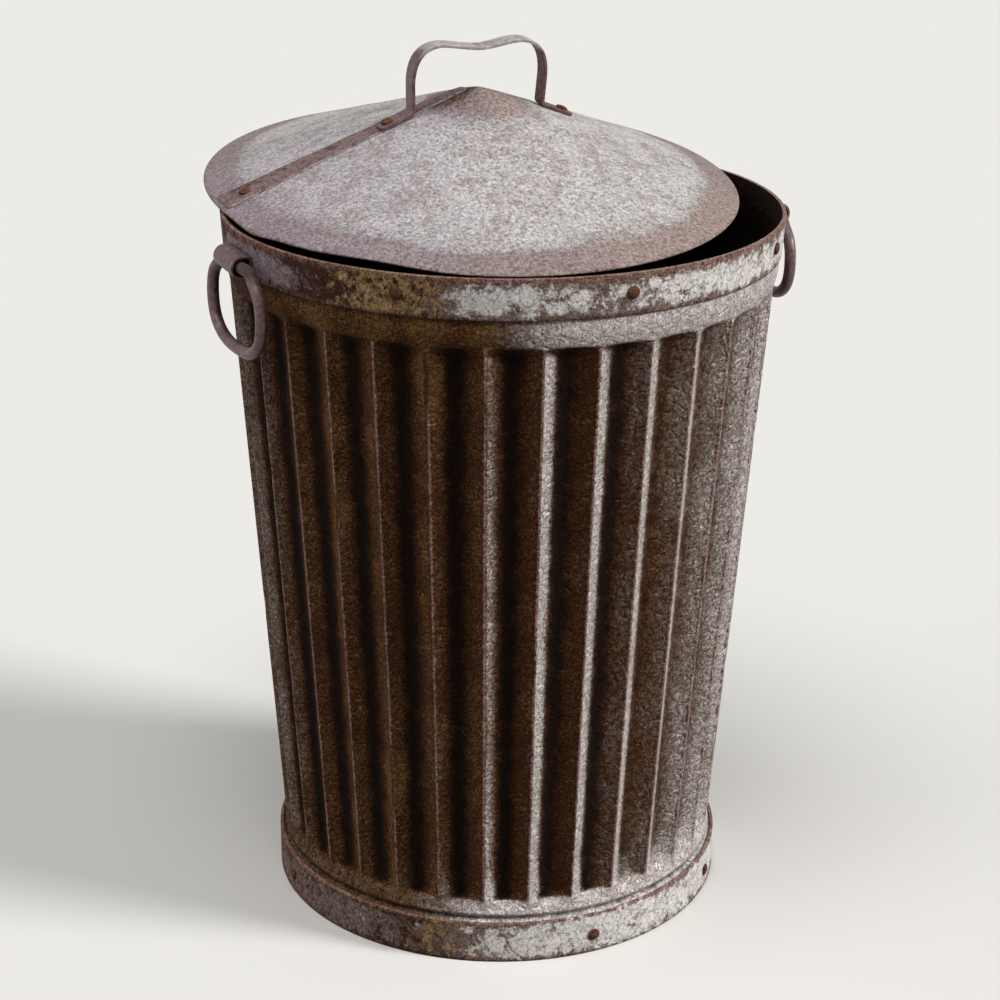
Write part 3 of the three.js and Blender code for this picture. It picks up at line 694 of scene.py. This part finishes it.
def buildRivet(name, body, node, point, facing, grip, radius, height):
    # a domed head at the point, a shank through `grip` of sheet, and a tail beyond it
    dome = [(radius * math.cos(a), height * (0.25 + 0.75 * math.sin(a)))
            for a in (math.radians(15 * i) for i in range(6))]
    profile = [(0, -grip - rivet["tailHeight"]),
               (rivet["tail"] * 0.7, -grip - rivet["tailHeight"] * 0.9),
               (rivet["tail"], -grip - rivet["tailHeight"] * 0.3), (rivet["tail"], -grip),
               (rivet["shank"], -grip), (rivet["shank"], 0), (radius * 0.96, 0)] + dome
    shape = spun(profile + [(0, height)], 24)
    seed = sum(ord(letter) for letter in name) % 97
    for vert in shape.verts:
        if vert.co.z > 0:
            vert.co.z *= 1 + 0.12 * min(lumps(vert.co, 4, seed), 0)

    def amounts(place, normal):
        # the tail, inside the can or under the lid, is darkened: painted shade
        return {"grime_and_shade": 1.0 if place.z < -mm else 0.0}

    turn = Vector((0, 0, 1)).rotation_difference(facing).to_matrix().to_4x4()
    finishPiece(shape, amounts, name, body, rivetSteel, node,
                Matrix.Translation(point * mm) @ turn)


def aboutAxis(angle):
    return Matrix.Rotation(math.radians(angle), 4, "Z")


def turned(vector, angle):
    return aboutAxis(angle) @ vector


rimNormal = Vector((math.cos(taper), 0, -math.sin(taper)))
rimRivetHeight = can["height"] - rivet["rimDrop"]
rimSeat = Vector((rimHoopOuter(rimRivetHeight) + can["gap"], 0, rimRivetHeight))
baseOuter = can["footRadius"] + can["gap"] + can["baseStrip"]
baseStack = can["baseStrip"] + can["wallSheet"] + pan["sheet"] + 4 * can["gap"]
baseSeat = Vector((baseOuter + can["gap"], 0, rivet["baseHeight"]))
rimPlaces = [k for k in range(8) if k != 4]     # the left bracket takes the fifth place
for hoop, places, seat, facing, stack in (
        ("rim", rimPlaces, rimSeat, rimNormal, rimStack),
        ("base", range(8), baseSeat, Vector((1, 0, 0)), baseStack)):
    for number, place in enumerate(places):
        angle = can["patternTurn"] + 45 * place
        buildRivet(f"{hoop}_rivet_head_{number + 1}", "can", f"{hoop}_rivet_{number + 1}",
                   turned(seat, angle), turned(facing, angle), stack,
                   rivet["radius"], rivet["height"])


# Handle brackets, each a strap curled round the bar of its ring, and ring handles
bracket = {"sheet": 1.8, "width": 40, "barrelInner": 8.05, "barrelDrop": 22.8, "standOff": 9.9,
           "lean": 4, "opening": 35, "legDrop": 10, "rivetSpacing": 22, "rivetRise": 2,
           "fold": 3, "corner": 3}
ring = {"rod": 5.4, "trim": 0.1, "halfWidth": 54.5, "drop": 75.5, "bar": 30, "barTrue": 25.5,
        "slide": 6, "endGap": 1.2, "squareness": 2.5}
sideTurn = {"left": 180, "right": -11.5}
barrelHeight = can["height"] - bracket["barrelDrop"]
barrelAxis = rimHoopOuter(barrelHeight) + bracket["standOff"]
barrelLine = bracket["barrelInner"] + bracket["sheet"] / 2
# the brackets sit crooked, turned about the middle of their barrels
lean = (Matrix.Translation((0, 0, barrelHeight * mm))
        @ Matrix.Rotation(math.radians(-bracket["lean"]), 4, "X")
        @ Matrix.Translation((0, 0, -barrelHeight * mm)))


def legLine(height):
    return rimHoopOuter(height) + (can["gap"] + bracket["sheet"] / 2) / math.cos(taper)


def strap(path, width, corner):
    # a ribbon along a path of (x, z) points, that wide across Y, with its end corners cut round
    shape = bmesh.new()
    line = [shape.verts.new((x * mm, -width / 2 * mm, z * mm)) for x, z in path]
    edges = [shape.edges.new(pair) for pair in zip(line, line[1:])]
    across = 6
    for _ in range(across):
        verts, edges = extruded(shape, edges)
        bmesh.ops.translate(shape, vec=(0, width / across * mm, 0), verts=verts)
    corners = [vert for vert in shape.verts if len(vert.link_edges) == 2]
    bmesh.ops.bevel(shape, geom=corners, offset=corner * mm, offset_type="OFFSET", segments=4,
                    profile=0.5, affect="VERTICES", material=-1)
    bmesh.ops.recalc_face_normals(shape, faces=shape.faces)
    return shape


def thicken(piece, sheet, edge):
    solid = piece.modifiers.new("sheet", "SOLIDIFY")
    solid.thickness = sheet * mm
    solid.offset = 0
    solid.use_even_offset = True
    rounding = piece.modifiers.new("edges", "BEVEL")
    rounding.width = edge * mm
    rounding.segments = 3
    rounding.limit_method = "ANGLE"
    rounding.angle_limit = math.radians(50)


def bow(start, control, end, steps):
    # points of a curve that leaves and arrives in the direction of the control point
    return [tuple(start.lerp(control, i / steps).lerp(control.lerp(end, i / steps), i / steps))
            for i in range(steps + 1)]


def softCorner(before, corner, after, cut):
    # a round corner that starts and ends that far from the sharp one
    before, corner, after = Vector(before), Vector(corner), Vector(after)
    return bow(corner + (before - corner).normalized() * cut, corner,
               corner + (after - corner).normalized() * cut, 6)


def buildBracket(side):
    foot = barrelHeight - bracket["legDrop"]
    fold = barrelHeight + barrelLine
    start, corner = (legLine(foot), foot), (legLine(fold), fold)
    path = [start, (legLine(foot + 6), foot + 6), (legLine(foot + 11), foot + 11)]
    path += softCorner(start, corner, (barrelAxis, fold), bracket["fold"])
    barrelSteps = 22
    for step in range(barrelSteps + 1):
        arc = math.radians(90 - step / barrelSteps * (180 + bracket["opening"]))
        path.append((barrelAxis + barrelLine * math.cos(arc),
                     barrelHeight + barrelLine * math.sin(arc)))
    shape = strap(path, bracket["width"], bracket["corner"])
    bmesh.ops.transform(shape, matrix=lean, verts=shape.verts)
    half = bracket["width"] / 2

    def amounts(place, normal):
        edge = ramp(abs(place.y) / mm, half - 4, half)
        # the part toward the hoop is darkened: painted shade
        return {"zinc_and_light": 0.45 * edge + 0.2, "rust": 0.3 + 0.3 * ramp(lumps(place, 16, 4), -0.2, 0.6),
                "grime_and_shade": 0.7 * (1 - ramp(place.x / mm, barrelAxis - 9, barrelAxis - 2))}

    piece = finishPiece(shape, amounts, f"{side}_strap_bracket", "can",
                        handleSteel, f"{side}_handle_bracket", aboutAxis(sideTurn[side]))
    thicken(piece, bracket["sheet"], 0.5)


def throughPoints(points, steps):
    # a centripetal curve through the points, with that many steps between each two
    line = [points[0] * 2 - points[1]] + points + [points[-1] * 2 - points[-2]]
    found = []
    for a, b, c, d in zip(line, line[1:], line[2:], line[3:]):
        ab, bc, cd = ((q - p).length ** 0.5 for p, q in ((a, b), (b, c), (c, d)))
        leave = ((b - a) / ab - (c - a) / (ab + bc) + (c - b) / bc) * bc
        arrive = ((c - b) / bc - (d - b) / (bc + cd) + (d - c) / cd) * bc
        for i in range(steps):
            t = i / steps
            found.append(b * (2 * t ** 3 - 3 * t ** 2 + 1) + leave * (t ** 3 - 2 * t ** 2 + t)
                         + c * (3 * t ** 2 - 2 * t ** 3) + arrive * (t ** 3 - t ** 2))
    return found + [points[-1]]


def ringPath():
    # half of the bar, a squarish oval from its end round to the other, and the bar's other half
    bar = [ring["endGap"] / 2, ring["barTrue"], ring["bar"]]
    half, power = ring["drop"] / 2, 2 / ring["squareness"]
    points = [Vector((0, -y, 0)) for y in bar]
    for degrees in range(50, -231, -20):
        across, up = math.cos(math.radians(degrees)), math.sin(math.radians(degrees))
        points.append(Vector((0, -ring["halfWidth"] * math.copysign(abs(across) ** power, across),
                              half * math.copysign(abs(up) ** power, up) - half)))
    return throughPoints(points + [Vector((0, y, 0)) for y in reversed(bar)], 7)


def rod(path, radius, sides):
    # a round rod along a path in the YZ plane, with closed ends
    places = []
    for i, point in enumerate(path):
        along = (path[min(i + 1, len(path) - 1)] - path[max(i - 1, 0)]).normalized()
        turn = Vector((0, 0, 1)).rotation_difference(along).to_matrix().to_4x4()
        if along.z < -0.999999:
            turn = Matrix.Rotation(math.pi, 4, "X")
        places.append(Matrix.Translation(point * mm) @ turn)
    shape = bmesh.new()
    bmesh.ops.create_circle(shape, cap_ends=True, segments=sides, radius=radius * mm,
                            matrix=places[0])
    edges = list(shape.edges)
    for here, there in zip(places, places[1:]):
        verts, edges = extruded(shape, edges)
        bmesh.ops.transform(shape, matrix=there @ here.inverted(), verts=verts)
    bmesh.ops.edgeloop_fill(shape, edges=edges)
    bmesh.ops.recalc_face_normals(shape, faces=shape.faces)
    return shape


# the level bar rests on the raised end of its leaning barrel
endRise = bracket["width"] / 2 * math.sin(math.radians(bracket["lean"]))
ringAxisHeight = barrelHeight + endRise - (bracket["barrelInner"] - ring["rod"] - can["gap"])


def buildRing(side):
    # the trim keeps the round rod inside the box of its faceted solid
    shape = rod(ringPath(), ring["rod"] - ring["trim"], 20)
    bmesh.ops.translate(shape, verts=shape.verts,
                        vec=(barrelAxis * mm, ring["slide"] * mm, ringAxisHeight * mm))
    foot = ringAxisHeight - ring["drop"]

    def amounts(place, normal):
        height = place.z / mm - foot
        # the bar, up in the barrel, is darkened: painted shade
        return {"zinc_and_light": 0.25 + 0.25 * ramp(lumps(place, 20, 6), -0.1, 0.6),
                "rust": 0.3 + 0.35 * ramp(lumps(place, 24, 9), 0, 0.7),
                "grime_and_shade": 0.5 * ramp(height, ring["drop"] - 12, ring["drop"])}

    finishPiece(shape, amounts, f"{side}_ring", f"{side}_ring", handleSteel,
                f"{side}_ring_handle", aboutAxis(sideTurn[side]))


for side in ("left", "right"):
    buildBracket(side)
    buildRing(side)
    for number, way in enumerate((-1, 1)):
        height = barrelHeight + bracket["rivetRise"]
        out = legLine(height) + (bracket["sheet"] / 2 + can["gap"]) / math.cos(taper)
        point = lean @ (Vector((out, way * bracket["rivetSpacing"] / 2, height)) * mm)
        facing = lean.to_3x3() @ rimNormal
        bulge = bracket["rivetSpacing"] ** 2 / 8 / rimHoopOuter(height)
        buildRivet(f"{side}_bracket_rivet_head_{number + 1}", "can",
                   f"{side}_bracket_rivet_{number + 1}", turned(point / mm, sideTurn[side]),
                   turned(facing, sideTurn[side]),
                   rimStack + bracket["sheet"] + can["gap"] + 2 * bulge,
                   rivet["flatRadius"], rivet["flatHeight"])
print("handles made")


# Lid, drawn round its own axis with its edge at height 0
lid = {
    "radius": 247.9, "rise": 91.8, "sheet": 0.9, "hem": 6, "tipRound": 6, "steps": 288,
    # where it lies ajar: sideways, to the back, height of its edge's middle, and its two angles
    "side": 1.6, "shift": 71.5, "height": 664.4178, "tilt": 5.4, "turn": -3.35,
    # its edge is bent up at one place and down at another: height, angle and how far to each side
    "raised": (4.5, -134, 13), "lowered": (4, -165, 5.5), "dents": 0.7,
    # where the finish and its painted light and shade differ: angle of the middle, and how far to
    # either side
    "shadySide": (178, 48), "lavenderLitHalf": (-165, 60), "warmLitSide": (-58, 42),
}
lidSlope = math.atan(lid["rise"] / lid["radius"])
upright = 1 / math.cos(lidSlope)
lidPlace = (aboutAxis(lid["turn"])
            @ Matrix.Translation((lid["side"] * mm, lid["shift"] * mm, lid["height"] * mm))
            @ Matrix.Rotation(math.radians(lid["tilt"]), 4, "X"))


def lidTop(radius):
    return lid["rise"] * (1 - radius / lid["radius"])


def lidDent(place):
    # how far knocks have moved the lid's sheet up or down
    radius = math.hypot(place.x, place.y) / mm / lid["radius"]
    angle = azimuth(place)
    (rise, *riseSide), (fall, *fallSide) = lid["raised"], lid["lowered"]
    edge = rise * nearSide(angle, *riseSide) - fall * nearSide(angle, *fallSide)
    middle = lumps(place, 60, 2) + 0.5 * lumps(place, 26, 8)
    return edge * radius ** 9 + lid["dents"] * middle * math.sin(math.pi * min(radius, 1))


def buildLid():
    sheet = lid["sheet"] * upright

    def topAt(radius):
        rounding = math.hypot(radius, lid["tipRound"]) - radius
        return lidTop(radius) - lid["rise"] / lid["radius"] * rounding

    radius, fold = lid["radius"], lid["radius"] - lid["hem"]
    out = rows(0, 24, 1.5) + rows(24, 216, 5) + rows(216, radius - 1, 2.5)
    # the edge is folded back under itself
    rim = topAt(radius)
    edge = [(radius - 1, topAt(radius - 1)), (radius - 0.35, rim - 0.05),
            (radius, rim - sheet * 0.6), (radius, rim - sheet * 1.3),
            (radius - 0.4, rim - sheet * 1.8), (radius - 1.2, topAt(radius - 1) - sheet * 2)]
    under = [(fold + 2.5, topAt(fold + 2.5) - 2 * sheet), (fold, topAt(fold) - 2 * sheet),
             (fold, topAt(fold) - sheet)]
    inside = [(r, topAt(r) - sheet) for r in reversed(rows(0, fold - 2, 5))]
    shape = spun([(r, topAt(r)) for r in out] + edge + under + inside, lid["steps"], 16)
    for vert in shape.verts:
        vert.co.z += lidDent(vert.co) * mm

    def amounts(place, normal):
        across = math.hypot(place.x, place.y) / mm
        bent = lidDent(place)
        # the underside is darkened: painted shade
        if place.z / mm < topAt(across) + bent - sheet * 0.6 and across < radius - 2:    # underside
            return {"grime_and_shade": 0.9, "zinc_and_light": 0.3, "rust": 0.2}
        angle = azimuth(place)
        band = 30 + 7 * lumps(place, 55, 11)
        zinc_and_light = ramp(radius - across, band - 20, band + 16) * ramp(across, 22, 70)
        tip = 1 - ramp(across, 25, 70)
        shade = nearSide(angle, *lid["shadySide"])
        hem = 1 - ramp(radius - across, 1, 7)
        # lavender on the left half is painted fill light, tan on the lit side painted warm key
        # light, and the tip on the shady side is darkened as painted shade
        return {"zinc_and_light": zinc_and_light, "rust": (0.45 + 0.4 * shade) * tip + 0.5 * hem,
                "gold_and_lilac_light": nearSide(angle, *lid["lavenderLitHalf"]),
                "worn_and_light": nearSide(angle, *lid["warmLitSide"]), "grime_and_shade": 0.5 * tip * shade}

    finishPiece(shape, amounts, "conical_lid", "lid", lidSteel, "lid_cone",
                lidPlace, sharp=50)


buildLid()


# Strip over the lid's seam, wider towards the edge and a little off the middle at the tip
seam = {"sheet": 1.0, "start": 10, "inset": 4, "innerWidth": 15.5, "outerWidth": 31.5, "skew": 7,
        "waver": 0.5, "rivetInset": 25}
seamStack = can["gap"] + seam["sheet"]


def seamWidth(share):
    return seam["innerWidth"] + (seam["outerWidth"] - seam["innerWidth"]) * share


def buildSeam():
    shape = bmesh.new()
    bmesh.ops.create_grid(shape, x_segments=60, y_segments=8, size=0.5)
    length = lid["radius"] - seam["inset"] - seam["start"]
    reach = lid["radius"] - seam["start"]
    for vert in shape.verts:
        along, across = vert.co.x + 0.5, vert.co.y
        share = along * length / reach
        x = -seam["start"] - along * length
        y = seam["skew"] * (1 - share) + across * seamWidth(share)
        y += seam["waver"] * noise.noise(Vector((along * 14, round(across * 2), 4)))
        vert.co = Vector((x, y, 0)) * mm
        vert.co.z = (lidTop(math.hypot(x, y)) + (can["gap"] + seam["sheet"] / 2) * upright) * mm
        vert.co.z += lidDent(vert.co) * mm
    corners = [vert for vert in shape.verts if len(vert.link_edges) == 2]
    bmesh.ops.bevel(shape, geom=corners, offset=2.5 * mm, offset_type="OFFSET", segments=4,
                    profile=0.5, affect="VERTICES", material=-1)
    bmesh.ops.recalc_face_normals(shape, faces=shape.faces)

    def amounts(place, normal):
        x, y = -place.x / mm, place.y / mm
        share = (x - seam["start"]) / reach
        across = (y - seam["skew"] * (1 - share)) / (seamWidth(share) / 2)
        # the pale edge is worn zinc with a painted highlight
        return {"zinc_and_light": 0.75 * ramp(-across, 0.7, 1) + 0.25,
                "rust": 0.3 + 0.5 * ramp(across, 0.6, 1)}

    piece = finishPiece(shape, amounts, "seam_strip", "lid", seamSteel,
                        "lid_seam_strip", lidPlace)
    thicken(piece, seam["sheet"], 0.3)


buildSeam()


# Lid handle: a strap with a foot on either side and a dip in the middle of its grip
grip = {"width": 16, "sheet": 3.0, "foot": 64.5, "footLength": 34, "rivetReach": 23.5,
        "rise": 64.4, "splay": 1.5, "shoulder": 40, "cornerDrop": 34, "dip": 4.6}
gripStack = can["gap"] + grip["sheet"]


def pointsBetween(start, end, shares):
    return [tuple(Vector(start).lerp(Vector(end), share)) for share in shares]


def gripSide(side, lift):
    # from the end of one foot up to the shoulder
    reach = grip["foot"] + grip["footLength"] * math.cos(lidSlope)
    top = lidTop(grip["foot"]) + grip["rise"]
    legX = grip["foot"] + grip["splay"]
    end = (side * reach, lidTop(reach) + lift)
    foot = (side * grip["foot"], lidTop(grip["foot"]) + lift)
    bend = (side * legX, top - grip["cornerDrop"])
    path = [end] + pointsBetween(end, foot, (0.25, 0.5, 0.75))
    path += softCorner(end, foot, bend, 3.5)
    path += pointsBetween(foot, bend, (0.4, 0.7))
    shoulder = Vector((side * grip["shoulder"], top))
    return path + bow(Vector(bend), Vector((side * legX, top - 2)), shoulder, 10)


def buildGrip():
    left = gripSide(-1, (seamStack + can["gap"] + grip["sheet"] / 2) * upright)
    right = gripSide(1, (can["gap"] + grip["sheet"] / 2) * upright)
    top = lidTop(grip["foot"]) + grip["rise"]
    middle = []
    for x in range(-34, 35, 4):    # the grip between its shoulders
        share = 1 - abs(x) / grip["shoulder"]
        middle.append((x, top - grip["dip"] * ramp(share, 0, 1)))
    shape = strap(left + middle + right[::-1], grip["width"], 3)
    for vert in shape.verts:    # the feet follow the lid's dents, and the rest is bent a little
        x, y, z = vert.co / mm
        onLid = 1 - ramp(z - lidTop(math.hypot(x, y)), 4, 20)
        vert.co.z += lidDent(vert.co) * onLid * mm
        vert.co.y += 0.5 * lumps(vert.co, 45, 12) * (1 - onLid) * mm
        vert.co.z += 0.35 * lumps(vert.co, 20, 13) * (1 - onLid) * mm

    def amounts(place, normal):
        x, z = place.x / mm, place.z / mm
        edge = ramp(abs(place.y) / mm, 5, 8)
        upper = ramp(z, top - 14, top - 2)
        return {"zinc_and_light": 0.3 * edge + 0.75 * upper + 0.2,
                "rust": 0.3 + 0.45 * ramp(x, 20, 60) * (1 - upper)}

    piece = finishPiece(shape, amounts, "lid_strap_handle", "lid", handleSteel,
                        "lid_handle", lidPlace)
    thicken(piece, grip["sheet"], 0.9)


buildGrip()


def lidRivet(name, node, side, radius, stack):
    local = Vector((side * radius, 0, lidTop(radius) + (stack + can["gap"]) * upright))
    local.z += lidDent(local * mm)
    facing = Vector((side * math.sin(lidSlope), 0, math.cos(lidSlope)))
    buildRivet(name, "lid", node, lidPlace @ (local * mm) / mm, lidPlace.to_3x3() @ facing,
               stack + lid["sheet"] + 2 * can["gap"], rivet["radius"], rivet["height"])


lidRivet("seam_rivet_head", "lid_seam_rivet", -1, lid["radius"] - seam["rivetInset"], seamStack)
lidRivet("handle_rivet_head_left", "lid_handle_rivet_left", -1,
         grip["foot"] + grip["rivetReach"], seamStack + gripStack)
lidRivet("handle_rivet_head_right", "lid_handle_rivet_right", 1,
         grip["foot"] + grip["rivetReach"], gripStack)
print("lid made")


# Studio: a pale floor, a soft lamp from the right, a soft one overhead and a weak one on the left
studio = {
    "floor": "#d9d7d3", "floorSize": 60,    # as it is seen, and in metres
    "floorGlow": "#3a3937",                 # as it lights the can from below
    "background": 0.72, "air": 0.12,        # the same for the world around it
    "lamps": {
        "key": {"azimuth": -43, "elevation": 30, "strength": 3.1, "softness": 16},
        "top": {"azimuth": -140, "elevation": 72, "strength": 1.7, "softness": 40},
        "fill": {"azimuth": -195, "elevation": 22, "strength": 0.8, "softness": 50},
    },
}


def seenDirectly(tree):
    # 1 for rays that show the backdrop: to the camera, in gloss and through glass
    camera = addNode(tree, "LightPath", {}, {}, "Is Camera Ray")
    path = camera.node.outputs
    glossy = addNode(tree, "Math", {"operation": "MAXIMUM"}, {
        0: camera, 1: path["Is Glossy Ray"]})
    return addNode(tree, "Math", {"operation": "MAXIMUM"}, {
        0: glossy, 1: path["Is Transmission Ray"]})


def buildStudio():
    floorShape = bmesh.new()
    bmesh.ops.create_grid(floorShape, x_segments=1, y_segments=1, size=studio["floorSize"] / 2)
    paper = bpy.data.materials.new("pale studio floor")
    tree = emptyTree(paper)
    paint = addNode(tree, "Mix", {"data_type": "RGBA"}, {
        "Factor": seenDirectly(tree), "A": hexToLinear(studio["floorGlow"]),
        "B": hexToLinear(studio["floor"])})
    matt = addNode(tree, "BsdfDiffuse", {}, {"Color": paint})
    addNode(tree, "OutputMaterial", {}, {"Surface": matt})
    floor = linked("floor", asMesh(floorShape, "floor", paper))

    world = bpy.data.worlds.new("studio air")
    bpy.context.scene.world = world
    tree = emptyTree(world)
    level = addNode(tree, "Mix", {"data_type": "FLOAT"}, {
        "Factor": seenDirectly(tree), "A": studio["air"], "B": studio["background"]})
    air = addNode(tree, "Background", {}, {"Color": (1, 1, 1, 1), "Strength": level})
    addNode(tree, "OutputWorld", {}, {"Surface": air})

    for name, values in studio["lamps"].items():
        lamp = bpy.data.lights.new(name, "SUN")
        lamp.energy = values["strength"]
        lamp.angle = math.radians(values["softness"])
        holder = linked(name, lamp)
        way, up = math.radians(values["azimuth"]), math.radians(values["elevation"])
        toLamp = Vector((math.cos(way) * math.cos(up), math.sin(way) * math.cos(up), math.sin(up)))
        holder.rotation_mode = "QUATERNION"
        holder.rotation_quaternion = toLamp.to_track_quat("Z", "Y")


buildStudio()

# Camera, at the photograph's viewing angle
view = {"place": (-0.99907, -1.85160, 1.17788), "turn": -28.35, "tilt": 69.053, "roll": 0.6,
        "lens": 85.605}
cameraData = bpy.data.cameras.new("camera")
cameraData.lens = view["lens"]
cameraData.sensor_width = 36
camera = linked("camera", cameraData)
camera.matrix_world = (Matrix.Translation(view["place"])
                       @ aboutAxis(view["turn"])
                       @ Matrix.Rotation(math.radians(view["tilt"]), 4, "X")
                       @ aboutAxis(view["roll"]))
bpy.context.scene.camera = camera
bpy.context.scene.view_settings.view_transform = "Standard"
print("studio made")
